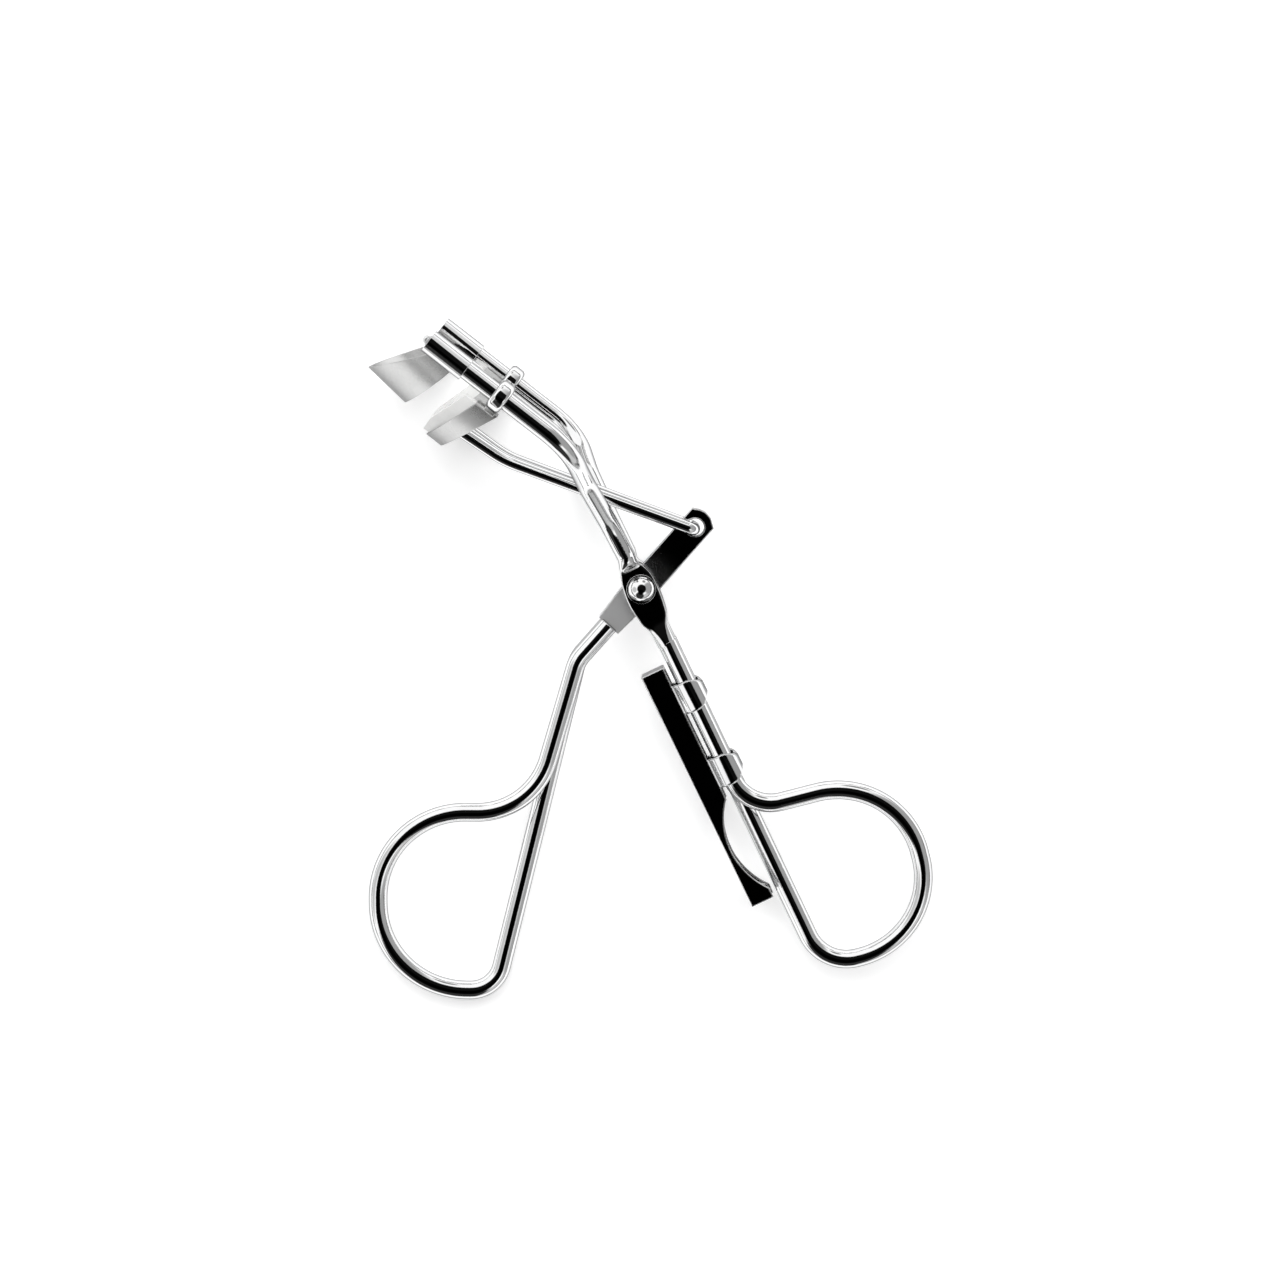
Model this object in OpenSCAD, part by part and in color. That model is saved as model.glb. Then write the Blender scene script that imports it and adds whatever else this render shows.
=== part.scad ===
// Eyelash curler: a bent-wire frame with two guide rods and a finger loop,
// a pivoting lever with the second loop, and a lower jaw that slides on the
// rods and is pushed by a wire yoke hooked through the lever.
//
// Frame: origin at the pivot rivet on the mid-plane between the two wires of
// each handle. +Y runs from the finger loops towards the jaws, +X towards the
// fixed loop, +Z along the rivet, up when the curler lies on its side.
// The tool is mirror-symmetric about z = 0 except where a loop crosses over.

/* [Wire] */
// Diameter of the frame, rod and handle wire
wire_d = 2.9; // [2.7:0.1:2.9]
// Gap left between the two stacked wires of each handle
wire_gap = 0.1; // [0.1:0.05:0.2]
// Diameter of the push yoke wire
yoke_d = 1.9; // [1.7:0.1:1.9]

/* [Guide rods] */
// Direction of the guide rods, measured from +X
rod_angle = 142; // [142:1:142]
// Distance of the rod plane from the pivot
rod_offset = 11.3; // [11.2:0.1:11.4]
// Half of the spacing between the two rods
rod_half = 15.2; // [15:0.1:15.4]
// Where the rods turn into the legs, along the rods
rod_foot = 22.1; // [21.5:0.1:22.5]
// Where the jaw sockets end, at the head
rod_head = 48.6; // [48.2:0.1:48.8]

/* [Jaws] */
// Outer radius of the curved jaw strip
jaw_r = 15.2; // [15:0.1:15.4]
// Centre of the jaw curve behind the head, along the bow direction
jaw_c = -15.5; // [-15.5:0.1:-15.5]
// Sheet thickness of the upper jaw
jaw_t = 0.6; // [0.5:0.1:0.7]
// Length of the rolled sockets
socket_l = 7.1; // [6.8:0.1:7.2]
// Wall of the rolled sockets
socket_t = 0.4; // [0.3:0.05:0.4]
// Distance between upper jaw edge and pad when open
jaw_gap = 4.67; // [4.67:0.01:4.75]
// Width of the silicone pad
pad_w = 3.4; // [3.2:0.1:3.4]
// Wall of the lower jaw channel
channel_t = 0.45; // [0.4:0.05:0.5]
// Outer radius of the sliding eyelets
eyelet_r = 2.5; // [2.4:0.1:2.6]
// Length of the sliding eyelets
eyelet_l = 2.4; // [2.2:0.1:2.6]

/* [Lever] */
// Direction of the lever arm, measured from +X
lever_angle = 48.5; // [48.5:0.5:48.5]
// Width of the lever across its arm
lever_w = 4.6; // [4.5:0.1:4.8]
// Thickness of the flattened lever arm
lever_t = 1.6; // [1.4:0.1:1.6]
// Length of the wedge that runs from the two handle wires to the flat arm
wedge_l = 4.2; // [4:0.1:4.2]
// Distance from the pivot to the hole for the yoke
link_reach = 12.4; // [12.4:0.1:12.4]
// Radius of that hole, larger than the yoke wire so that it can roll
link_r = 1.35; // [1.35:0.05:1.5]

/* [Pivot] */
// Radius of the rivet shank
rivet_r = 1.1; // [1:0.05:1.2]
// Radius of the rivet heads
rivet_head_r = 2.1; // [1.9:0.1:2.2]
// Radial clearance of the rivet in the lever
pivot_fit = 0.05; // [0.02:0.01:0.08]
// Thickness of the flattened pivot plates
plate_t = 1.2; // [1.1:0.1:1.2]
// Gap between each plate and the lever
plate_gap = 0.6; // [0.6:0.05:0.65]

/* [Finger loops] */
// Radius of the round side of each loop, to the wire centre
loop_r = 13.4; // [13:0.1:13.6]
// Bend radius where a handle turns out into its loop
loop_neck_r = 6.5; // [6:0.5:6.5]
// Bend radius at the bottom of each loop
loop_toe_r = 6.5; // [5:0.5:7]

/* [Handle clip] */
// Sheet thickness of the clip
clip_t = 0.5; // [0.45:0.05:0.5]
// Where the clip starts, down the fixed handle from the pivot
clip_start = 12.4; // [12:0.1:12.8]
// Where the clip ends
clip_end = 51.8; // [51:0.1:52]
// Depth of the thumb relief cut into the clip
relief_depth = 2.8; // [2:0.1:2.8]

/* [Hidden] */
$fn = 48;

wr = wire_d / 2;
yr = yoke_d / 2;
stack_z = wr + wire_gap / 2;
plate_z = lever_t / 2 + plate_gap;
steel = [0.78, 0.79, 0.80];
dark_steel = [0.30, 0.31, 0.33];

// ---- wire helpers -------------------------------------------------------
function unit(v) = v / norm(v);
function side_of(d) = abs(d[2]) < 0.9 ? unit(cross(d, [0, 0, 1])) : unit(cross(d, [1, 0, 0]));
function xyz(p) = [p[0], p[1], p[2]];
function half_turn(a, b) = acos(max(-1, min(1, a * b))) / 2;
// length taken off each side of a bend at corner i
function trim_at(p, i) =
    (i <= 0 || i >= len(p) - 1) ? 0
    : p[i][3] * tan(half_turn(unit(xyz(p[i]) - xyz(p[i - 1])), unit(xyz(p[i + 1]) - xyz(p[i]))));

module place(o, ex, ey, ez)
    multmatrix([[ex[0], ey[0], ez[0], o[0]],
                [ex[1], ey[1], ez[1], o[1]],
                [ex[2], ey[2], ez[2], o[2]],
                [0, 0, 0, 1]]) children();

module straight(a, b, r) {
    d = unit(b - a);
    s = side_of(d);
    place(a, s, cross(d, s), d) cylinder(r = r, h = norm(b - a));
}

module bend(p, i, r) {
    a = unit(xyz(p[i]) - xyz(p[i - 1]));
    b = unit(xyz(p[i + 1]) - xyz(p[i]));
    turn = 2 * half_turn(a, b);
    axis = unit(cross(a, b));
    in = cross(axis, a);
    start = xyz(p[i]) - a * trim_at(p, i);
    c = start + in * p[i][3];
    place(c, -in, a, axis)
        rotate_extrude(angle = turn) translate([p[i][3], 0]) circle(r = r + bend_swell);
}

// A wire along corner points [x, y, z, bend radius]; the straights run a
// little way into the bends, which a bent wire leaves very slightly fuller
bend_swell = 0.01;
bend_lap = 0.1;
module wire(p, r) {
    for (i = [0 : len(p) - 2]) {
        d = unit(xyz(p[i + 1]) - xyz(p[i]));
        lap0 = i > 0 ? bend_lap : 0;
        lap1 = i < len(p) - 2 ? bend_lap : 0;
        straight(xyz(p[i]) + d * (trim_at(p, i) - lap0),
                 xyz(p[i + 1]) - d * (trim_at(p, i + 1) - lap1), r);
    }
    for (i = [1 : len(p) - 2]) bend(p, i, r);
}

// ---- local frames -------------------------------------------------------
// x along the rods towards the head, y out along the bow of the jaws
module rod_frame() rotate([0, 0, rod_angle]) children();
// x down the fixed handle from the pivot, y across it, away from the lever
stem_angle = -64.5;
module stem_frame() rotate([0, 0, stem_angle]) children();
module lever_frame() rotate([0, 0, lever_angle]) children();
// stands a profile drawn in (bow, z) up along the rods
module along(s0, h) rotate([90, 0, 90]) translate([0, 0, s0]) linear_extrude(h) children();
function rod_pt(s, b, z) = [s * cos(rod_angle) - b * sin(rod_angle),
                            s * sin(rod_angle) + b * cos(rod_angle), z];

// ---- frame wire ---------------------------------------------------------
leg_low = [-2.1, 4.7, stack_z + 0.9];
leg_neck = [-4.7, 9.9, stack_z + 2.1];
leg_mid = [-8.2, 16.8, 8.8];

module guide_rod(side) {
    foot = rod_pt(rod_foot, -rod_offset, side * rod_half);
    tip = rod_pt(rod_head - 0.6, -rod_offset, side * rod_half);
    difference() {
        wire([[tip[0], tip[1], tip[2], 0],
              [foot[0], foot[1], foot[2], 9],
              [leg_mid[0], leg_mid[1], side * leg_mid[2], 9],
              [leg_neck[0], leg_neck[1], side * leg_neck[2], 9],
              [leg_low[0], leg_low[1], side * leg_low[2], 0]], wr);
        plate_solid(side);
    }
}

// spoon-shaped flat with a rounded lower end, along the handle axis
module plate_outline() polygon([
    [-2.9, 3.5], [-1.8, 4.0], [-0.6, 4.1], [0.4, 3.6], [1.2, 2.8], [1.8, 2.0], [2.4, 0.6],
    [2.9, -0.6], [3.3, -1.7], [3.6, -2.6], [3.75, -3.4], [3.8, -4.1], [3.7, -4.7], [3.3, -5.3],
    [2.7, -5.9], [1.8, -6.3], [1.0, -6.1], [0.3, -5.6], [-0.4, -4.8], [-1.0, -4.0],
    [-1.7, -2.9], [-2.2, -1.8], [-2.6, -0.6], [-2.95, 0.6], [-3.2, 1.8], [-3.25, 2.8]]);

module plate_solid(side)
    translate([0, 0, side > 0 ? plate_z : -plate_z - plate_t])
        linear_extrude(plate_t) plate_outline();

module pivot_plate(side) difference() {
    plate_solid(side);
    translate([0, 0, -20]) cylinder(r = rivet_r, h = 40);
}

fixed_c = [29.75, -44.6];   // centre of the round side of the fixed loop
fixed_tilt = 14;         // how far that loop is tipped up
function loop_corner(c, r, tilt, k, mirrored) =
    let (u = [cos(tilt), sin(tilt)], v = [-sin(tilt), cos(tilt)], q = r * (u + k * v))
    mirrored ? [c[0] - q[0], c[1] + q[1]] : [c[0] + q[0], c[1] + q[1]];

module fixed_finger_loop() color(steel) {
    q3 = loop_corner(fixed_c, loop_r, fixed_tilt, 1, false);
    q4 = loop_corner(fixed_c, loop_r, fixed_tilt, -1, false);
    difference() {
        wire([[2.4, -5.1, stack_z, 0],
              [16.2, -34.3, stack_z, loop_neck_r],
              [q3[0], q3[1], 0.8, loop_r - 0.3],
              [q4[0], q4[1], -0.8, loop_r - 0.3],
              [27.9, -59.3, -stack_z, loop_toe_r],
              [2.4, -5.1, -stack_z, 0]], wr);
        plate_solid(1);
        plate_solid(-1);
    }
}

module near_guide_rod() color(steel) guide_rod(1);
module far_guide_rod() color(steel) guide_rod(-1);
module near_pivot_plate() color(steel) pivot_plate(1);
module far_pivot_plate() color(steel) pivot_plate(-1);

// ---- upper jaw ----------------------------------------------------------
// Ring sector in (bow, z) between two radii about the jaw centre
module jaw_arc(r0, r1, from) intersection() {
    translate([jaw_c, 0]) difference() {
        circle(r = r1, $fn = 120);
        circle(r = r0, $fn = 120);
    }
    translate([from, -30]) square([30, 60]);
}

edge_slope = 0.31;    // the top of the pad falls away towards the rods
edge_k = 0.42;        // slope of the curved jaw edge at bow 0
jaw_edge = 46.02;     // that edge at bow 0
jaw_top = 54.35;      // upper edge at bow 0
top_slope = 0.72;
jaw_lean = 6;         // the strip leans in towards the head

// prism between two slanted planes, drawn in (rod, bow)
module side_cut(s0, k0, s1, k1)
    translate([0, 0, -30]) linear_extrude(60)
        polygon([[s0 + k0 * -14, -14], [s1 + k1 * -14, -14], [s1 + k1 * 3, 3], [s0 + k0 * 3, 3]]);

// everything above a lash edge that is slightly hollow towards the gap, with
// slope k where it meets bow 0
edge_r = 45;
module edge_cut(s0, k) {
    a = atan(k);
    translate([s0 + edge_r * cos(a), -edge_r * sin(a), -30]) cylinder(r = edge_r, h = 60, $fn = 360);
}

module upper_jaw() color([0.86, 0.86, 0.86]) rod_frame() difference() {
    intersection() {
        translate([46, 0, 0]) rotate([0, 0, -jaw_lean]) translate([-46, 0, 0])
            along(38, 22) jaw_arc(jaw_r - jaw_t, jaw_r, -10.8);
        edge_cut(jaw_edge, edge_k);
        translate([0, 0, -30]) linear_extrude(60)
            polygon([[30, -14], [jaw_top - 14 * top_slope, -14], [jaw_top - 1.3 * top_slope, -1.3],
                     [jaw_top + 0.2, 0.2], [jaw_top + 0.2, 3], [30, 3]]);
    }
    for (z = [-1, 1])
        translate([40, -rod_offset, z * rod_half]) rotate([0, 90, 0])
            cylinder(r = wr + socket_t, h = 20);
}

module jaw_socket(side) rod_frame()
    translate([rod_head - socket_l, -rod_offset, side * rod_half]) rotate([0, 90, 0])
        difference() {
            cylinder(r = wr + socket_t, h = socket_l);
            translate([0, 0, -1]) cylinder(r = wr, h = socket_l + 2);
        }
module near_jaw_socket() color(steel) jaw_socket(1);
module far_jaw_socket() color(steel) jaw_socket(-1);

// Peened stud that keeps the socket on the near rod
module near_rod_stud() color(steel) rod_frame()
    translate([rod_head - 0.6, -rod_offset, rod_half]) rotate([0, 90, 0]) {
        cylinder(r = 0.7, h = 0.8);
        translate([0, 0, 0.8]) cylinder(r = 0.85, h = 0.7);
    }

// ---- pivot --------------------------------------------------------------
module dome(r, h) {
    rs = (r * r + h * h) / (2 * h);
    intersection() {
        translate([0, 0, h - rs]) sphere(r = rs, $fn = 96);
        cylinder(r = r + 1, h = h + 1);
    }
}

washer_t = 0.2;
module pivot_rivet() color(steel) {
    top = plate_z + plate_t + washer_t;
    translate([0, 0, -top]) cylinder(r = rivet_r, h = 2 * top);
    translate([0, 0, top]) dome(rivet_head_r, 1.15);
    mirror([0, 0, 1]) translate([0, 0, top]) dome(rivet_head_r, 0.8);
}
module rivet_washer(side)
    translate([0, 0, side > 0 ? plate_z + plate_t : -plate_z - plate_t - washer_t]) difference() {
        cylinder(r = rivet_head_r + 0.15, h = washer_t);
        translate([0, 0, -1]) cylinder(r = rivet_r, h = 2);
    }
module near_rivet_washer() color(steel) rivet_washer(1);
module far_rivet_washer() color(steel) rivet_washer(-1);

// ---- lever --------------------------------------------------------------
lever_head = 15.2;
lever_tail = -7.6;
tail_w = 3.9;
tail_half = 1.8;         // half of the tail's depth where the wires are joined on

module lever_outline() {
    polygon([[lever_tail, -tail_w / 2], [-3.6, -lever_w / 2], [14.1, -lever_w / 2],
             [lever_head - 0.2, -0.9], [lever_head, 0.4], [14.9, 1.3], [14.3, lever_w / 2],
             [-3.0, lever_w / 2], [-5.4, tail_w / 2 + 0.12], [lever_tail, tail_w / 2]]);
}

// A flat arm that swells into a wedge where the two handle wires are joined on
module lever_bar() color(dark_steel) lever_frame() difference() {
    union() {
        intersection() {
        translate([0, 0, -4]) linear_extrude(8) lever_outline();
        rotate([90, 0, 0]) translate([0, 0, -4]) linear_extrude(8)
            polygon([[lever_head + 1, -lever_t / 2], [lever_head + 1, lever_t / 2],
                     [lever_tail + wedge_l, lever_t / 2], [lever_tail, tail_half],
                     [lever_tail, -tail_half], [lever_tail + wedge_l, -lever_t / 2]]);
        }
        translate([0, 0, -plate_z + 0.08]) cylinder(r = lever_w / 2, h = 2 * (plate_z - 0.08));
    }
    translate([0, 0, -20]) cylinder(r = rivet_r + pivot_fit, h = 40);
    translate([link_reach, 0, -20]) cylinder(r = link_r, h = 40);
}

// Rolled rim round the yoke hole, one on each face of the arm
module hole_rim(side) lever_frame()
    translate([link_reach, 0, side > 0 ? lever_t / 2 : -lever_t / 2 - 0.12]) difference() {
        cylinder(r = link_r + 0.3, h = 0.12);
        translate([0, 0, -1]) cylinder(r = link_r, h = 3);
    }
module near_hole_rim() color(steel) hole_rim(1);
module far_hole_rim() color(steel) hole_rim(-1);

moving_c = [-26.8, -48.75];
module moving_finger_loop() color(steel) {
    a = lever_angle + 180;
    q3 = loop_corner(moving_c, loop_r + 0.65, 0, 1, true);
    q4 = loop_corner(moving_c, loop_r + 0.65, 0, -1, true);
    wire([[7.6 * cos(a), 7.6 * sin(a), stack_z, 0],
          [14.9 * cos(a), 14.9 * sin(a), stack_z, 5.5],
          [-16.8, -34.7, stack_z, 11.5],
          [q3[0], q3[1], 0.8, loop_r + 0.35],
          [q4[0], q4[1], -0.8, loop_r + 0.35],
          [-22.85, -63.1, -stack_z, loop_toe_r - 1.6],
          [14.9 * cos(a), 14.9 * sin(a), -stack_z, 5.5],
          [7.6 * cos(a), 7.6 * sin(a), -stack_z, 0]], wr);
}

// ---- lower jaw and what rides with it ------------------------------------
channel_from = -8.6;          // the channel stops short of the rods
floor_s = 36.95;              // underside at bow 0
floor_slope = 0.4;
rim_s = 39.9;                 // rim at bow 0
rim_slope = 0.31;
pad_top = jaw_edge - jaw_gap; // top of the pad at bow 0
mid_r = jaw_r - jaw_t / 2;
eyelet_s = 35;                // middle of the eyelets along the rods

module channel_block(k0, k1, s0, sl0, s1, sl1) intersection() {
    along(28, 16) jaw_arc(mid_r - pad_w / 2 - k0, mid_r + pad_w / 2 + k1, channel_from);
    side_cut(s0, sl0, s1, sl1);
}

module eyelet_lug(side)
    along(eyelet_s - 0.9, 1.8)
        mirror([0, side > 0 ? 0 : 1])
            polygon([[-8.2, 11.0], [-8.2, 15.6], [-9.6, 16.4], [-11.2, 16.4], [-11.2, 13.2], [-9.8, 11.9]]);

module lower_jaw() color([0.82, 0.82, 0.82]) rod_frame() difference() {
    union() {
        channel_block(channel_t, channel_t, floor_s, floor_slope, rim_s, rim_slope);
        for (s = [-1, 1]) eyelet_lug(s);
    }
    channel_block(0, 0, floor_s + 0.5, floor_slope, rim_s + 5, rim_slope);
    for (z = [-1, 1])
        translate([20, -rod_offset, z * rod_half]) rotate([0, 90, 0]) cylinder(r = eyelet_r, h = 30);
}

module silicone_pad() color([0.93, 0.93, 0.92]) rod_frame() intersection() {
    channel_block(0, 0, floor_s + 0.5, floor_slope, pad_top + 5, edge_slope);
    translate([0, 0, -30]) linear_extrude(60)
        polygon([[20, -14], [pad_top - 12.4 * edge_slope, -14], [pad_top, -1.6], [pad_top - 0.15, 3], [20, 3]]);
    translate([0, channel_from + 0.4, -30]) cube([60, 20, 60]);
}

// Bead with rounded shoulders that slides on its rod
module eyelet(side) rod_frame()
    translate([eyelet_s, -rod_offset, side * rod_half]) rotate([0, 90, 0])
        rotate_extrude() {
            rr = 0.7;
            bore = wr + 0.05;
            translate([bore, -eyelet_l / 2]) square([eyelet_r - rr - bore, eyelet_l]);
            translate([bore, -eyelet_l / 2 + rr]) square([eyelet_r - bore, eyelet_l - 2 * rr]);
            for (s = [-1, 1]) translate([eyelet_r - rr, s * (eyelet_l / 2 - rr)]) intersection() {
                circle(r = rr);
                translate([0, -rr]) square(2 * rr);
            }
        }
module near_eyelet() color(steel) eyelet(1);
module far_eyelet() color(steel) eyelet(-1);

// Half of the yoke: welded under the lower jaw, hooked into the lever hole
yoke_z = lever_t / 2 + 0.25 + yr;
module push_wire(side) {
    root = rod_pt(36.9, -2.4, side * 4.8);
    knee = rod_pt(28.6, -2.8, side * 3.2);
    // the hook sits a little below the hole centre, so that it stays inside
    // the hole while the lever swings past the straight path of the yoke
    hook = [link_reach * cos(lever_angle) - 0.27 * sin(rod_angle),
            link_reach * sin(lever_angle) + 0.27 * cos(rod_angle)];
    difference() {
        wire([[root[0], root[1], root[2], 0],
              [knee[0], knee[1], knee[2], 14],
              [hook[0], hook[1], side * yoke_z, 1.15],
              [hook[0], hook[1], 0, 0]], yr);
        rod_frame() channel_block(channel_t, channel_t, floor_s, floor_slope, rim_s + 5, rim_slope);
    }
}
module near_push_wire() color(steel) push_wire(1);
module far_push_wire() color(steel) push_wire(-1);

// ---- clip on the fixed handle --------------------------------------------
clip_back = -6.0;     // outside of the spine, across the handle
clip_edge = -2.3;     // free edge of the side walls
clip_half = 2.2;
clip_turn = wr + 0.2;
relief_half = 7.6;
relief_r = (relief_half * relief_half + relief_depth * relief_depth) / (2 * relief_depth);
ear_w = 4.8;
ear_s = [18, 30.6];   // middle of each pair of ears

module clip_side() difference() {
    translate([clip_start, clip_back]) square([clip_end - clip_start, clip_edge - clip_back]);
    translate([42.6, clip_edge - relief_depth + relief_r]) circle(r = relief_r, $fn = 96);
}

module ear_plan(s) {
    translate([s - ear_w / 2, clip_edge - 0.5]) square([ear_w, 0.5 + 2.4 - 0.1]);
    translate([s, -0.1]) circle(r = ear_w / 2);
}

// section of an ear in (across, z): a joggle out of the wall, then round the wire
module ear_section() {
    polygon([[clip_edge - 0.5, clip_half - clip_t], [clip_edge + 0.1, clip_half - clip_t],
             [-clip_turn * 0.707, stack_z + clip_turn * 0.707],
             [-(clip_turn + clip_t) * 0.707, stack_z + (clip_turn + clip_t) * 0.707],
             [clip_edge, clip_half], [clip_edge - 0.5, clip_half]]);
    intersection() {
        translate([0, stack_z]) difference() {
            circle(r = clip_turn + clip_t);
            circle(r = clip_turn);
        }
        polygon([[0, stack_z], [-4, stack_z + 4], [4, stack_z + 4], [4, 1.1], [0, 1.1]]);
    }
}

module handle_clip() color(dark_steel) stem_frame() {
    difference() {
        translate([0, 0, -clip_half]) linear_extrude(2 * clip_half) clip_side();
        translate([clip_start + clip_t, clip_back + clip_t, -(clip_half - clip_t)])
            cube([60, 10, 2 * (clip_half - clip_t)]);
    }
    for (s = ear_s, m = [0, 1]) mirror([0, 0, m]) intersection() {
        translate([0, 0, 0.5]) linear_extrude(4) ear_plan(s);
        along(s - 3, 6) ear_section();
    }
}

near_guide_rod();
far_guide_rod();
near_pivot_plate();
far_pivot_plate();
fixed_finger_loop();
upper_jaw();
near_jaw_socket();
far_jaw_socket();
near_rod_stud();
pivot_rivet();
near_rivet_washer();
far_rivet_washer();
lever_bar();
near_hole_rim();
far_hole_rim();
moving_finger_loop();
lower_jaw();
silicone_pad();
near_eyelet();
far_eyelet();
near_push_wire();
far_push_wire();
handle_clip();
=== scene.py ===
import bpy, bmesh, math
from mathutils import Vector, Matrix


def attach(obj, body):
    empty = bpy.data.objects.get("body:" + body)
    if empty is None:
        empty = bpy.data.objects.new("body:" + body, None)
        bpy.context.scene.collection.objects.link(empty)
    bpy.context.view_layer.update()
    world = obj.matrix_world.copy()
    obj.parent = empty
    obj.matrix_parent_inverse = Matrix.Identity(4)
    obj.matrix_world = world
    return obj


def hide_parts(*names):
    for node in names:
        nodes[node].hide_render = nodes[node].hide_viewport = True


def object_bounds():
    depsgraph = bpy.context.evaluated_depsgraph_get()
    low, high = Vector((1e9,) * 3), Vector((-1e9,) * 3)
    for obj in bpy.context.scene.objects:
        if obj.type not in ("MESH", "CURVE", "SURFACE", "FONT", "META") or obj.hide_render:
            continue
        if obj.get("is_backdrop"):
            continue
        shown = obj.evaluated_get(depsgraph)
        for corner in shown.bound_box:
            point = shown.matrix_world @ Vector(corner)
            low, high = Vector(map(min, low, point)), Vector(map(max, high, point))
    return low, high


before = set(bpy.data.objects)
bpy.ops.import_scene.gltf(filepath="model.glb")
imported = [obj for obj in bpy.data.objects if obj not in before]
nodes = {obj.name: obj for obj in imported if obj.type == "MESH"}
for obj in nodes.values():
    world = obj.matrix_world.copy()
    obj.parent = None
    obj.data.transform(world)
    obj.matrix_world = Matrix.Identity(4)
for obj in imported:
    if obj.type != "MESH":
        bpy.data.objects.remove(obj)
cad_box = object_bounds()
MM = 0.001

# ---------------------------------------------------------------- camera
scene = bpy.context.scene
cam_data = bpy.data.cameras.new("camera")
cam = bpy.data.objects.new("camera", cam_data)
scene.collection.objects.link(cam)
right = Vector((0.99975, -0.00286, -0.02226))
fwd = Vector((-0.02245, -0.12748, -0.99156))
up = Vector((0.0, 0.99206, -0.12748))
right = fwd.cross(up).normalized()
up = right.cross(fwd).normalized()
rot = Matrix((right, up, -fwd)).transposed()
cam.matrix_world = Matrix.Translation(Vector((0.0166, 0.0876, 0.7447))) @ rot.to_4x4()
cam_data.lens = 137.8
cam_data.sensor_width = 36
cam_data.clip_start = 0.01
scene.camera = cam
C = -fwd          # from the table towards the camera

scene.view_settings.view_transform = "Standard"
scene.view_settings.look = "None"

# ---------------------------------------------------------------- node helpers
class Tree:
    def __init__(self, tree):
        self.t = tree
    def n(self, kind, **kw):
        node = self.t.nodes.new(kind)
        for k, v in kw.items():
            if k.startswith("in_"):
                key = k[3:]
                key = int(key) if key.isdigit() else key.replace("_", " ")
                node.inputs[key].default_value = v
            else:
                setattr(node, k, v)
        return node
    def l(self, a, b):
        self.t.links.new(a, b)
    def math(self, op, a, b=None, clamp=False):
        m = self.n("ShaderNodeMath", operation=op, use_clamp=clamp)
        for i, v in enumerate((a, b)):
            if v is None:
                continue
            if isinstance(v, (int, float)):
                m.inputs[i].default_value = v
            else:
                self.l(v, m.inputs[i])
        return m.outputs[0]
    def noise(self, scale, detail=3.0, rough=0.55, vec=None):
        x = self.n("ShaderNodeTexNoise")
        x.inputs["Scale"].default_value = scale
        x.inputs["Detail"].default_value = detail
        x.inputs["Roughness"].default_value = rough
        if vec is not None:
            self.l(vec, x.inputs["Vector"])
        return x.outputs["Fac"]
    def remap(self, v, a, b, c, d, smooth=False):
        x = self.n("ShaderNodeMapRange")
        if smooth:
            x.interpolation_type = "SMOOTHSTEP"
        x.inputs["From Min"].default_value = a
        x.inputs["From Max"].default_value = b
        x.inputs["To Min"].default_value = c
        x.inputs["To Max"].default_value = d
        self.l(v, x.inputs["Value"])
        return x.outputs["Result"]

def stretched(T, sx, sy, sz, angle=0.0):
    """Object coordinates, turned about Z and then scaled, for grain along one way."""
    tc = T.n("ShaderNodeTexCoord")
    a = T.n("ShaderNodeMapping")
    a.inputs["Rotation"].default_value = (0, 0, angle)
    T.l(tc.outputs["Object"], a.inputs["Vector"])
    m = T.n("ShaderNodeMapping")
    m.inputs["Scale"].default_value = (sx, sy, sz)
    T.l(a.outputs["Vector"], m.inputs["Vector"])
    return m.outputs["Vector"]

def metal(name, c0, c1, r0, r1, grain=(1, 1, 1), angle=0.0, bump=0.02, bump_scale=2500, smudge=140, rim=0.75, soft=0.0):
    mat = bpy.data.materials.new(name)
    mat.use_nodes = True
    T = Tree(mat.node_tree)
    b = mat.node_tree.nodes["Principled BSDF"]
    b.inputs["Metallic"].default_value = 1.0
    tc = T.n("ShaderNodeTexCoord").outputs["Object"]
    sm = T.noise(smudge, 4, 0.6, tc)
    fine = T.noise(bump_scale, 3, 0.6, stretched(T, *grain, angle))
    # colour: slow drift of the plating
    mix = T.n("ShaderNodeMix", data_type="RGBA")
    mix.inputs[6].default_value = (*c0, 1)
    mix.inputs[7].default_value = (*c1, 1)
    T.l(T.remap(sm, 0.35, 0.7, 0, 1), mix.inputs[0])
    # painted shade: the base colour is darkened towards near black where the surface turns away from the camera
    # (grazing angles), by the amount rim, standing in for dark reflections along the silhouettes
    lw = T.n("ShaderNodeLayerWeight")
    lw.inputs["Blend"].default_value = 0.5
    edge = T.remap(lw.outputs["Facing"], 0.36, 0.86, 0.0, rim, True)
    rim_shade_mix = T.n("ShaderNodeMix", data_type="RGBA")
    T.l(edge, rim_shade_mix.inputs[0])
    T.l(mix.outputs[2], rim_shade_mix.inputs[6])
    rim_shade_mix.inputs[7].default_value = (0.10, 0.10, 0.11, 1)
    T.l(rim_shade_mix.outputs[2], b.inputs["Base Color"])
    b.inputs["Specular Tint"].default_value = (0.4, 0.4, 0.4, 1)
    # roughness: smudges and fine grain
    r = T.math("ADD", T.remap(sm, 0.45, 0.75, r0, r1), T.remap(fine, 0.3, 0.7, -0.01, 0.02))
    T.l(T.math("MAXIMUM", r, 0.015), b.inputs["Roughness"])
    bp = T.n("ShaderNodeBump")
    bp.inputs["Strength"].default_value = bump
    bp.inputs["Distance"].default_value = 0.00005
    T.l(fine, bp.inputs["Height"])
    if soft:
        rounded = T.n("ShaderNodeBevel", samples=8)
        rounded.inputs["Radius"].default_value = soft * 0.001
        T.l(rounded.outputs["Normal"], bp.inputs["Normal"])
    T.l(bp.outputs["Normal"], b.inputs["Normal"])
    return mat

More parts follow.
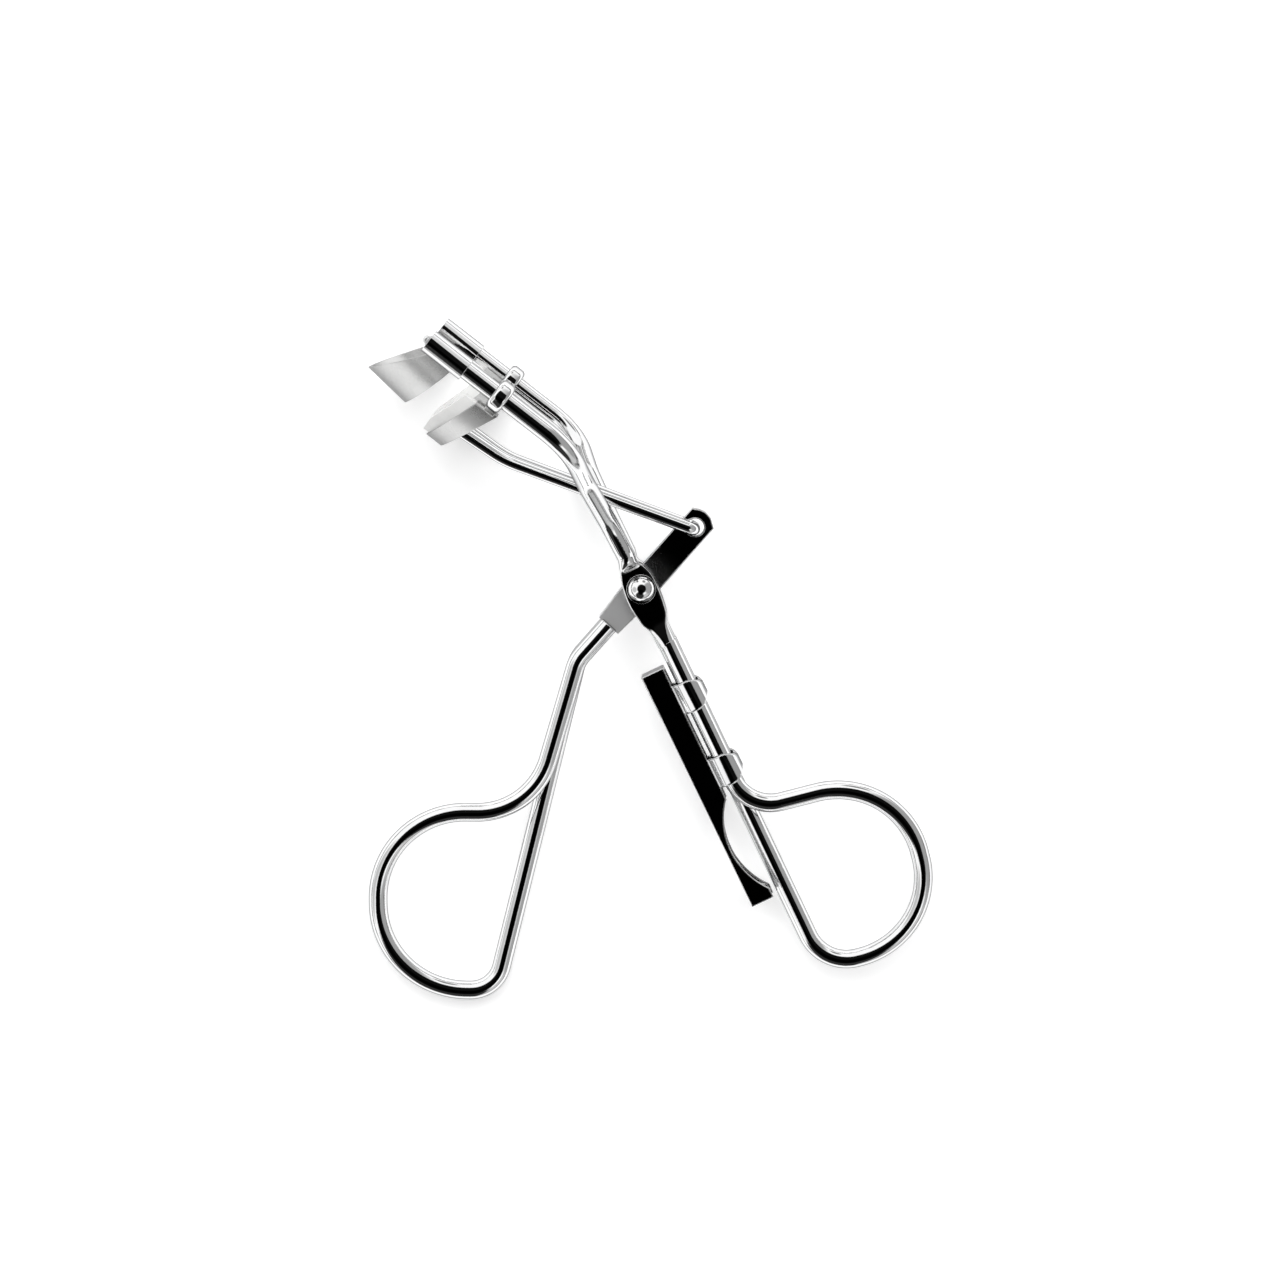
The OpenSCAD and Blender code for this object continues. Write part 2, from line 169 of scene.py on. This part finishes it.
ROD = math.radians(142)
# rim sets how strongly each finish gets the painted shade at grazing angles
chrome = metal("polished_wire_chrome", (0.93, 0.93, 0.93), (0.86, 0.865, 0.87), 0.03, 0.075, bump=0.10)
mirror = metal("mirror_sheet_chrome", (0.90, 0.90, 0.90), (0.84, 0.845, 0.85), 0.035, 0.09, bump=0.06, smudge=90, rim=0.5, soft=0.45)
satin = metal("satin_steel", (0.66, 0.66, 0.655), (0.60, 0.60, 0.595), 0.25, 0.32,
              grain=(1, 10, 10), angle=-ROD, bump=0.08, bump_scale=1500, rim=0.2, soft=0.2)

def silicone_mat():
    mat = bpy.data.materials.new("white_silicone")
    mat.use_nodes = True
    T = Tree(mat.node_tree)
    b = mat.node_tree.nodes["Principled BSDF"]
    tc = T.n("ShaderNodeTexCoord").outputs["Object"]
    sm = T.noise(260, 3, 0.6, tc)
    mix = T.n("ShaderNodeMix", data_type="RGBA")
    mix.inputs[6].default_value = (0.80, 0.80, 0.79, 1)
    mix.inputs[7].default_value = (0.72, 0.72, 0.71, 1)
    T.l(T.remap(sm, 0.35, 0.7, 0, 1), mix.inputs[0])
    T.l(mix.outputs[2], b.inputs["Base Color"])
    T.l(T.remap(sm, 0.3, 0.7, 0.42, 0.55), b.inputs["Roughness"])
    b.inputs["Subsurface Weight"].default_value = 0.25
    b.inputs["Subsurface Scale"].default_value = 0.0008
    b.inputs["Subsurface Radius"].default_value = (1, 1, 1)
    bp = T.n("ShaderNodeBump")
    bp.inputs["Strength"].default_value = 0.25
    bp.inputs["Distance"].default_value = 0.00004
    T.l(T.noise(3000, 3, 0.6, tc), bp.inputs["Height"])
    T.l(bp.outputs["Normal"], b.inputs["Normal"])
    return mat
silicone = silicone_mat()

# ---------------------------------------------------------------- geometry helpers
def rod_pt(s, b, z):
    c, n = math.cos(ROD), math.sin(ROD)
    return (s * c - b * n, s * n + b * c, z)

def fillet_path(points, seg=5.0):
    """Centreline through [x, y, z, R] points, each inner corner rounded to R. Millimetres."""
    P = [Vector(p[:3]) for p in points]
    out = [P[0].copy()]
    for i in range(1, len(P) - 1):
        a = (P[i - 1] - P[i]).normalized()
        b = (P[i + 1] - P[i]).normalized()
        R = points[i][3]
        ang = a.angle(b)
        t = R / math.tan(ang / 2)
        s, e = P[i] + a * t, P[i] + b * t
        centre = P[i] + (a + b).normalized() * (R / math.sin(ang / 2))
        turn = math.pi - ang
        n = max(6, int(math.degrees(turn) / seg * 2))
        v0, v1 = s - centre, e - centre
        for k in range(n + 1):
            f = k / n
            q = v0 * (math.sin((1 - f) * turn) / math.sin(turn)) + v1 * (math.sin(f * turn) / math.sin(turn))
            out.append(centre + q)
    out.append(P[-1].copy())
    res = [out[0]]
    for p in out[1:]:
        gap = (p - res[-1]).length
        if gap < 1e-4:
            continue
        k = max(1, int(gap / 1.2))
        q = res[-1].copy()
        for j in range(1, k + 1):
            res.append(q.lerp(p, j / k))
    return res

def tube_mesh(name, path, radius, segs=40, section=None, cap=0.25):
    """Sweeps a round section, or section(f, k) -> (u, v) in mm, along the path."""
    n = len(path)
    tan = []
    for i in range(n):
        a = path[max(i - 1, 0)]
        b = path[min(i + 1, n - 1)]
        tan.append((b - a).normalized())
    ref = Vector((0, 0, 1))
    if abs(tan[0].dot(ref)) > 0.9:
        ref = Vector((1, 0, 0))
    u = (ref - tan[0] * ref.dot(tan[0])).normalized()
    bm = bmesh.new()
    rings = []
    length = [0.0]
    for i in range(1, n):
        length.append(length[-1] + (path[i] - path[i - 1]).length)
    total = length[-1]
    def ring(c, u, v, t, l, shrink=1.0):
        vs = []
        for k in range(segs):
            a = 2 * math.pi * k / segs
            if section:
                x, y, off = section(l, total, a)
                p = c + u * (x * shrink) + v * (y * shrink) + off
            else:
                p = c + u * (radius * shrink * math.cos(a)) + v * (radius * shrink * math.sin(a))
            vs.append(bm.verts.new(p * MM))
        return vs
    for i in range(n):
        t = tan[i]
        u = (u - t * u.dot(t)).normalized()
        v = t.cross(u)
        if i == 0 and cap:
            for f in (1.0, 0.6, 0.25):
                sh = 1 - (cap / radius) * (1 - math.sqrt(1 - (f) ** 2)) if f < 1 else 1 - cap / radius
                rings.append(ring(path[0], u, v, t, 0, sh) if f == 1.0 else ring(path[0] + t * cap * (1 - f), u, v, t, 0, sh))
            rings.append(ring(path[0] + t * cap, u, v, t, 0))
            continue
        if i == n - 1 and cap:
            rings.append(ring(path[-1] - t * cap, u, v, t, total))
            for f in (0.25, 0.6, 1.0):
                sh = 1 - (cap / radius) * (1 - math.sqrt(1 - (f) ** 2)) if f < 1 else 1 - cap / radius
                rings.append(ring(path[-1] - t * cap * (1 - f), u, v, t, total, sh))
            continue
        rings.append(ring(path[i], u, v, t, length[i]))
    for a, b in zip(rings[:-1], rings[1:]):
        for k in range(segs):
            bm.faces.new((a[k], a[(k + 1) % segs], b[(k + 1) % segs], b[k]))
    bm.faces.new(list(reversed(rings[0])))
    bm.faces.new(rings[-1])
    bmesh.ops.recalc_face_normals(bm, faces=bm.faces)
    me = bpy.data.meshes.new(name)
    bm.to_mesh(me)
    bm.free()
    return me

def smooth(obj, angle=35):
    obj.data.polygons.foreach_set("use_smooth", [True] * len(obj.data.polygons))
    try:
        obj.data.set_sharp_from_angle(angle=math.radians(angle))
    except Exception:
        pass

def piece(name, me, body, mat, replaced=(), angle=35):
    o = bpy.data.objects.new(name, me)
    scene.collection.objects.link(o)
    o.data.materials.append(mat)
    smooth(o, angle)
    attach(o, body)
    if replaced:
        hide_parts(*replaced)
    return o

# ---------------------------------------------------------------- CAD nodes that stay
def loft(name, stations, segs=48, cap=0.3):
    """Skin through stations (centre, side axis, normal axis, left, right, half thickness, squareness). Millimetres."""
    bm = bmesh.new()
    rings = []
    def ring(st, shrink=1.0, shift=0.0):
        c, u, v, l, r, h, sq = st
        t = u.cross(v)
        vs = []
        for k in range(segs):
            a = 2 * math.pi * k / segs
            x, y = math.cos(a), math.sin(a)
            x = math.copysign(abs(x) ** (2 / sq), x)
            y = math.copysign(abs(y) ** (2 / sq), y)
            x *= (l if x > 0 else r) * shrink
            vs.append(bm.verts.new((c + u * x + v * (y * h * shrink) + t * shift) * MM))
        return vs
    if cap:
        for f in (0.0, 0.2, 0.55):
            rings.append(ring(stations[0], 1 - cap / 1.45 * (1 - math.sqrt(1 - (1 - f) ** 2))))
            for w in rings[-1]:
                w.co += (stations[1][0] - stations[0][0]).normalized() * (f * cap * MM)
        st = list(stations[0])
        st[0] = st[0] + (stations[1][0] - stations[0][0]).normalized() * cap
        stations = [tuple(st)] + stations[1:]
    for st in stations:
        rings.append(ring(st))
    for a, b in zip(rings[:-1], rings[1:]):
        for k in range(segs):
            bm.faces.new((a[k], a[(k + 1) % segs], b[(k + 1) % segs], b[k]))
    bm.faces.new(list(reversed(rings[0])))
    bm.faces.new(rings[-1])
    bmesh.ops.recalc_face_normals(bm, faces=bm.faces)
    me = bpy.data.meshes.new(name)
    bm.to_mesh(me)
    bm.free()
    return me

def lathe(name, profile, segs=96, axis=None):
    """Turns (radius, height) points about Z, or about the frame axis=(origin, matrix). Millimetres."""
    bm = bmesh.new()
    rows = []
    for r, z in profile:
        if r < 1e-6:
            rows.append([bm.verts.new((0, 0, z * MM))])
        else:
            rows.append([bm.verts.new((r * math.cos(2 * math.pi * k / segs) * MM, r * math.sin(2 * math.pi * k / segs) * MM, z * MM)) for k in range(segs)])
    for a, b in zip(rows[:-1], rows[1:]):
        for k in range(segs):
            q = (k + 1) % segs
            if len(a) == 1:
                bm.faces.new((a[0], b[q], b[k]))
            elif len(b) == 1:
                bm.faces.new((a[k], a[q], b[0]))
            else:
                bm.faces.new((a[k], a[q], b[q], b[k]))
    bmesh.ops.recalc_face_normals(bm, faces=bm.faces)
    me = bpy.data.meshes.new(name)
    bm.to_mesh(me)
    bm.free()
    if axis:
        me.transform(axis)
    return me

WR, YR, SZ = 1.45, 0.95, 1.5
def mirror_z(pts):
    return [[p[0], p[1], -p[2], p[3]] for p in pts]

# frame wire: rod, leg, and the eye flattened round the rivet
def frame_wire(side):
    foot, tip = rod_pt(22.1, -11.3, 15.2), rod_pt(48.0, -11.3, 15.2)
    path = fillet_path([[*tip, 0], [*foot, 9], [-8.2, 16.8, 8.8, 9], [-4.7, 9.9, 3.6, 9], [-2.35, 5.2, 2.5, 0]])
    st = []
    n = len(path)
    Z = Vector((0, 0, 1))
    for i, c in enumerate(path):
        t = (path[min(i + 1, n - 1)] - path[max(i - 1, 0)]).normalized()
        u = Z.cross(t).normalized()
        v = t.cross(u).normalized()
        st.append((c, u, v, WR, WR, WR, 2.0))
    ax = Vector((0.447, -0.894, 0)).normalized()
    u = Z.cross(ax).normalized()
    # distance down the plate, side towards +u, side away, middle z, half thickness, squareness
    rows = [(-0.9, 1.45, 1.45, 2.42, 1.44, 2.0), (-0.3, 1.44, 1.47, 2.36, 1.42, 2.0), (0.2, 1.46, 1.52, 2.3, 1.34, 2.1),
            (0.6, 1.64, 1.50, 2.2, 1.12, 2.4), (0.85, 1.86, 1.52, 2.1, 0.86, 3.2), (1.1, 2.05, 1.6, 2.03, 0.66, 5.0),
            (1.5, 2.28, 1.74, 2.0, 0.61, 7.0), (2.05, 2.46, 1.9, 2.0, 0.6, 9.0),
            (2.6, 2.64, 2.06, 2.0, 0.6, 10), (3.5, 2.78, 2.24, 2.0, 0.6, 10), (4.3, 2.78, 2.36, 2.0, 0.6, 10), (5.1, 2.74, 2.46, 2.0, 0.6, 10),
            (6.3, 2.64, 2.50, 2.0, 0.6, 10), (7.5, 2.50, 2.39, 2.0, 0.6, 10), (8.5, 2.34, 2.22, 2.0, 0.6, 9), (9.3, 2.2, 2.12, 1.99, 0.6, 8),
            (9.9, 2.02, 1.98, 1.97, 0.62, 6), (10.4, 1.80, 1.76, 1.92, 0.68, 4.5), (10.9, 1.56, 1.54, 1.84, 0.80, 3.6), (11.5, 1.46, 1.46, 1.75, 0.98, 3.0),
            (12.3, 1.45, 1.45, 1.64, 1.2, 2.4), (13.2, 1.45, 1.45, 1.54, 1.38, 2.1), (14.0, 1.44, 1.44, 1.5, 1.44, 2.0)]
    for d, r, l, z, h, sq in rows:
        f = min(1.0, max(0.0, (d + 1.18) / 2.5))
        c = Vector((-2.3, 3.9, 0)) + ax * d + u * (0.536 * (1 - f * f * (3 - 2 * f)))
        c.z = z
        st.append((c, u, Z, r, l, h, sq))
    me = loft("near_frame_wire" if side > 0 else "far_frame_wire", st)
    if side < 0:
        me.transform(Matrix.Diagonal((1, 1, -1, 1)))
        me.flip_normals()
    return me
for side, w in ((1, "near"), (-1, "far")):
    piece(w + "_frame_wire", frame_wire(side), "frame", chrome, [w + "_guide_rod", w + "_pivot_plate"], angle=50)

def corner(c, r, tilt, k, flip):
    a = math.radians(tilt)
    q = (r * (math.cos(a) - k * math.sin(a)), r * (math.sin(a) + k * math.cos(a)))
    return (c[0] - q[0], c[1] + q[1]) if flip else (c[0] + q[0], c[1] + q[1])

LR = 13.4
q3, q4 = corner((29.75, -44.6), LR, 14, 1, False), corner((29.75, -44.6), LR, 14, -1, False)
path = fillet_path([[3.9, -8.27, SZ, 0], [16.2, -34.3, SZ, 6.5], [*q3, 0.8, LR - 0.3], [*q4, -0.8, LR - 0.3],
                    [27.9, -59.3, -SZ, 6.5], [3.9, -8.27, -SZ, 0]], 3.0)
piece("fixed_loop_wire", tube_mesh("fixed_loop_wire", path, WR, 48, cap=0.08), "frame", chrome, ["fixed_finger_loop"])

LA = math.radians(48.5)
ta = (-math.cos(LA), -math.sin(LA))
q3, q4 = corner((-26.8, -48.75), LR + 0.65, 0, 1, True), corner((-26.8, -48.75), LR + 0.65, 0, -1, True)
path = fillet_path([[7.35 * ta[0], 7.35 * ta[1], SZ, 0], [14.9 * ta[0], 14.9 * ta[1], SZ, 5.5], [-16.8, -34.7, SZ, 11.5],
                    [*q3, 0.8, LR + 0.35], [*q4, -0.8, LR + 0.35], [-22.85, -63.1, -SZ, 4.9],
                    [14.9 * ta[0], 14.9 * ta[1], -SZ, 5.5], [7.35 * ta[0], 7.35 * ta[1], -SZ, 0]], 3.0)
piece("moving_loop_wire", tube_mesh("moving_loop_wire", path, WR, 48), "lever", chrome, ["moving_finger_loop"])

# yoke: one bent wire, welded under the lower jaw at both ends and hooked through the lever
hx = 12.4 * math.cos(LA) - 0.27 * math.sin(ROD)
hy = 12.4 * math.sin(LA) + 0.27 * math.cos(ROD)
yz = 2.0
root, knee = rod_pt(36.9, -2.4, 4.8), rod_pt(28.6, -2.8, 3.2)
half = [[*root, 0], [*knee, 14], [hx, hy, yz, 1.15]]
path = fillet_path(half + [[hx, hy, -yz, 1.15]] + [[q[0], q[1], -q[2], q[3]] for q in reversed(half[:2])], 3.0)
piece("yoke_wire", tube_mesh("yoke_wire", path, YR, 40, cap=0.2), "carriage", chrome, ["near_push_wire", "far_push_wire"])

# rivet with a domed head, a small foot all round, and a shank
def dome(top, h, r=1.98):
    R = (r * r + h * h) / (2 * h)
    pts = []
    a0 = math.asin(r / R) if h < r else math.pi / 2
    for k in range(19):
        a = a0 * k / 18
        pts.append((R * math.sin(a), top + h - R + R * math.cos(a)))
    pts += [(r + 0.03, top + 0.04), (r + 0.0, top + 0.0)]
    return pts
top = 2.8
upper = [p for p in dome(top, 1.15)]
lower = [(r, -z) for r, z in reversed(dome(top, 0.8))]
piece("rivet", lathe("rivet", upper + [(1.1, top), (1.1, -top)] + lower), "frame", chrome, ["pivot_rivet"], angle=40)

# rolled rims of the lever hole
def torus(name, centre, R, r, squash=1.0):
    bm = bmesh.new()
    rows = []
    for i in range(72):
        a = 2 * math.pi * i / 72
        row = []
        for j in range(16):
            b = 2 * math.pi * j / 16
            row.append(bm.verts.new(((centre[0] + (R + r * math.cos(b)) * math.cos(a)) * MM,
                                     (centre[1] + (R + r * math.cos(b)) * math.sin(a)) * MM,
                                     (centre[2] + r * squash * math.sin(b)) * MM)))
        rows.append(row)
    for i in range(72):
        for j in range(16):
            bm.faces.new((rows[i][j], rows[(i + 1) % 72][j], rows[(i + 1) % 72][(j + 1) % 16], rows[i][(j + 1) % 16]))
    bmesh.ops.recalc_face_normals(bm, faces=bm.faces)
    me = bpy.data.meshes.new(name)
    bm.to_mesh(me)
    bm.free()
    return me
hc = (12.4 * math.cos(LA), 12.4 * math.sin(LA))
for sgn, w in ((1, "near"), (-1, "far")):
    piece(w + "_rim_ring", torus(w + "_rim_ring", (hc[0], hc[1], sgn * 0.80), 1.44, 0.10), "lever", chrome, [w + "_hole_rim"])

# peened knob on the near rod's end
ux, uy = math.cos(ROD), math.sin(ROD)
o = rod_pt(48.0, -11.3, 15.2)
knob_axis = Matrix(((-uy, 0, ux, o[0] * MM), (ux, 0, uy, o[1] * MM), (0, 1, 0, o[2] * MM), (0, 0, 0, 1)))
knob = [(0, 1.5), (0.22, 1.47), (0.42, 1.38), (0.58, 1.22), (0.64, 1.05), (0.62, 0.92), (0.56, 0.84), (0.80, 0.80),
        (0.84, 0.72), (0.80, 0.64), (0.62, 0.60), (0.62, 0.0), (0, 0)]
piece("rod_knob", lathe("rod_knob", knob, 48, knob_axis), "frame", chrome, ["near_rod_stud"], angle=40)

# lever: mirror-polished arm, satin where the wires are brazed on
def two_finish(name, edge, softness):
    mat = mirror.copy()
    mat.name = name
    T = Tree(mat.node_tree)
    b = mat.node_tree.nodes["Principled BSDF"]
    tc = T.n("ShaderNodeTexCoord").outputs["Object"]
    d = T.n("ShaderNodeVectorMath", operation="DOT_PRODUCT")
    d.inputs[1].default_value = (math.cos(LA), math.sin(LA), 0)
    T.l(tc, d.inputs[0])
    wob = T.math("MULTIPLY", T.math("SUBTRACT", T.noise(500, 2, 0.5, tc), 0.5), 0.0008)
    m = T.remap(T.math("ADD", d.outputs["Value"], wob), edge - softness, edge + softness, 1, 0, True)
    src = b.inputs["Roughness"].links[0].from_socket
    mix = T.n("ShaderNodeMix", data_type="FLOAT")
    T.l(m, mix.inputs[0]); T.l(src, mix.inputs[2]); mix.inputs[3].default_value = 0.66
    rub = T.math("MULTIPLY", T.remap(d.outputs["Value"], 0.0028, 0.0085, 1, 0, True), 0.20)
    T.l(T.math("ADD", mix.outputs[0], T.math("MULTIPLY", rub, T.math("SUBTRACT", 1.0, m))), b.inputs["Roughness"])
    src = b.inputs["Base Color"].links[0].from_socket
    cm = T.n("ShaderNodeMix", data_type="RGBA")
    T.l(m, cm.inputs[0]); T.l(src, cm.inputs[6]); cm.inputs[7].default_value = (0.92, 0.92, 0.92, 1)
    T.l(cm.outputs[2], b.inputs["Base Color"])
    return mat
lever_mat = two_finish("lever_finish", -0.0022, 0.0005)

mats = {"upper_jaw": satin, "lower_jaw": satin, "silicone_pad": silicone, "handle_clip": mirror, "lever_bar": lever_mat}
bevels = {"upper_jaw": 0.10, "lower_jaw": 0.12, "silicone_pad": 0.55, "handle_clip": 0.24, "lever_bar": 0.22,
          "near_jaw_socket": 0.1, "far_jaw_socket": 0.1, "near_rod_stud": 0.2, "near_rivet_washer": 0.06, "far_rivet_washer": 0.06}
for name, o in nodes.items():
    o.data.materials.clear()
    o.data.materials.append(mats.get(name, chrome))
    o.data.polygons.foreach_set("use_smooth", [True] * len(o.data.polygons))
    w = o.modifiers.new("weld", "WELD")
    w.merge_threshold = 2e-6
    if name in bevels:
        v = o.modifiers.new("edges", "BEVEL")
        v.width = bevels[name] * MM
        v.segments = 3
        v.limit_method = "ANGLE"
        v.angle_limit = math.radians(38)
        v.use_clamp_overlap = True
        v.harden_normals = False
    wn = o.modifiers.new("normals", "WEIGHTED_NORMAL")
    wn.keep_sharp = True
    wn.weight = 60

# ---------------------------------------------------------------- stage
table = bpy.data.materials.new("table")
table.use_nodes = True
T = Tree(table.node_tree)
b = table.node_tree.nodes["Principled BSDF"]
b.inputs["Base Color"].default_value = (0.93, 0.93, 0.93, 1)
b.inputs["Roughness"].default_value = 0.7
b.inputs["Specular IOR Level"].default_value = 0.2
b.inputs["Emission Color"].default_value = (1, 1, 1, 1)
b.inputs["Emission Strength"].default_value = 0.22
me = bpy.data.meshes.new("floor")
bm = bmesh.new()
bmesh.ops.create_grid(bm, x_segments=8, y_segments=8, size=1.5)
bm.to_mesh(me); bm.free()
floor = bpy.data.objects.new("floor", me)
scene.collection.objects.link(floor)
floor.data.materials.append(table)
# the table's normal is the camera's axis; find the lowest point of the object along it
low = min(C.dot(v.co) for o in nodes.values() for v in o.data.vertices)
floor.matrix_world = Matrix.Translation(C * (low - 0.00002)) @ C.to_track_quat("Z", "Y").to_matrix().to_4x4()
floor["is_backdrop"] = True

world = bpy.data.worlds.new("studio")
scene.world = world
world.use_nodes = True
W = Tree(world.node_tree)
bg = world.node_tree.nodes["Background"]
gen = W.n("ShaderNodeTexCoord").outputs["Generated"]
def dot(v):
    m = W.n("ShaderNodeVectorMath", operation="DOT_PRODUCT")
    m.inputs[1].default_value = v
    W.l(gen, m.inputs[0])
    return m.outputs["Value"]
def dirv(tilt, heading):
    """A direction tilt degrees off the camera axis, towards heading (0 right, 90 up in the picture)."""
    t, h = math.radians(tilt), math.radians(heading)
    return C * math.cos(t) + (right * math.cos(h) + up * math.sin(h)) * math.sin(t)
def blob(tilt, heading, inner, outer):
    """1 inside, 0 outside a soft disc in the sky."""
    return W.remap(dot(dirv(tilt, heading)), math.cos(math.radians(outer)), math.cos(math.radians(inner)), 0, 1, True)
level = None
def darken(mask, amount):
    global level
    k = W.math("SUBTRACT", 1.0, W.math("MULTIPLY", mask, amount))
    level = k if level is None else W.math("MULTIPLY", level, k)
darken(blob(4, 300, 31, 38), 0.995)
darken(blob(30, 262, 17, 25), 0.97)
darken(blob(60, 258, 23, 32), 0.97)
darken(blob(78, 305, 18, 32), 0.45)
darken(blob(58, 5, 28, 45), 0.66)
darken(blob(60, 70, 7, 13), 0.75)
darken(blob(56, 190, 12, 24), 0.45)
# dim band where the far walls of the room meet the table, broken up
off = W.math("ABSOLUTE", W.math("SUBTRACT", dot(C), 0.10))
ringm = W.remap(off, 0.05, 0.13, 1, 0, True)
brk = W.remap(W.noise(5.0, 3, 0.6, gen), 0.42, 0.56, 0.25, 1.0)
darken(W.math("MULTIPLY", ringm, brk), 0.9)
col = W.n("ShaderNodeCombineColor")
lev = W.math("MULTIPLY", level, 1.08)
for i in range(3):
    W.l(lev, col.inputs[i])
W.l(col.outputs[0], bg.inputs["Color"])
bg.inputs["Strength"].default_value = 1.0

sun_data = bpy.data.lights.new("overhead", "AREA")
sun_data.shape = "DISK"
sun_data.size = 0.9
sun_data.energy = 8.5
sun = bpy.data.objects.new("overhead", sun_data)
scene.collection.objects.link(sun)
sun.location = C * 0.9 + up * 0.25
sun.rotation_euler = (sun.location * -1).to_track_quat("-Z", "Y").to_euler()
sun.visible_glossy = False

# ---------------------------------------------------------------- end
def flat(b):
    try:
        return [[float(x) for x in v] for v in b]
    except TypeError:
        return [float(x) for x in b]
{"cad": flat(cad_box), "visual": flat(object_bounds())}
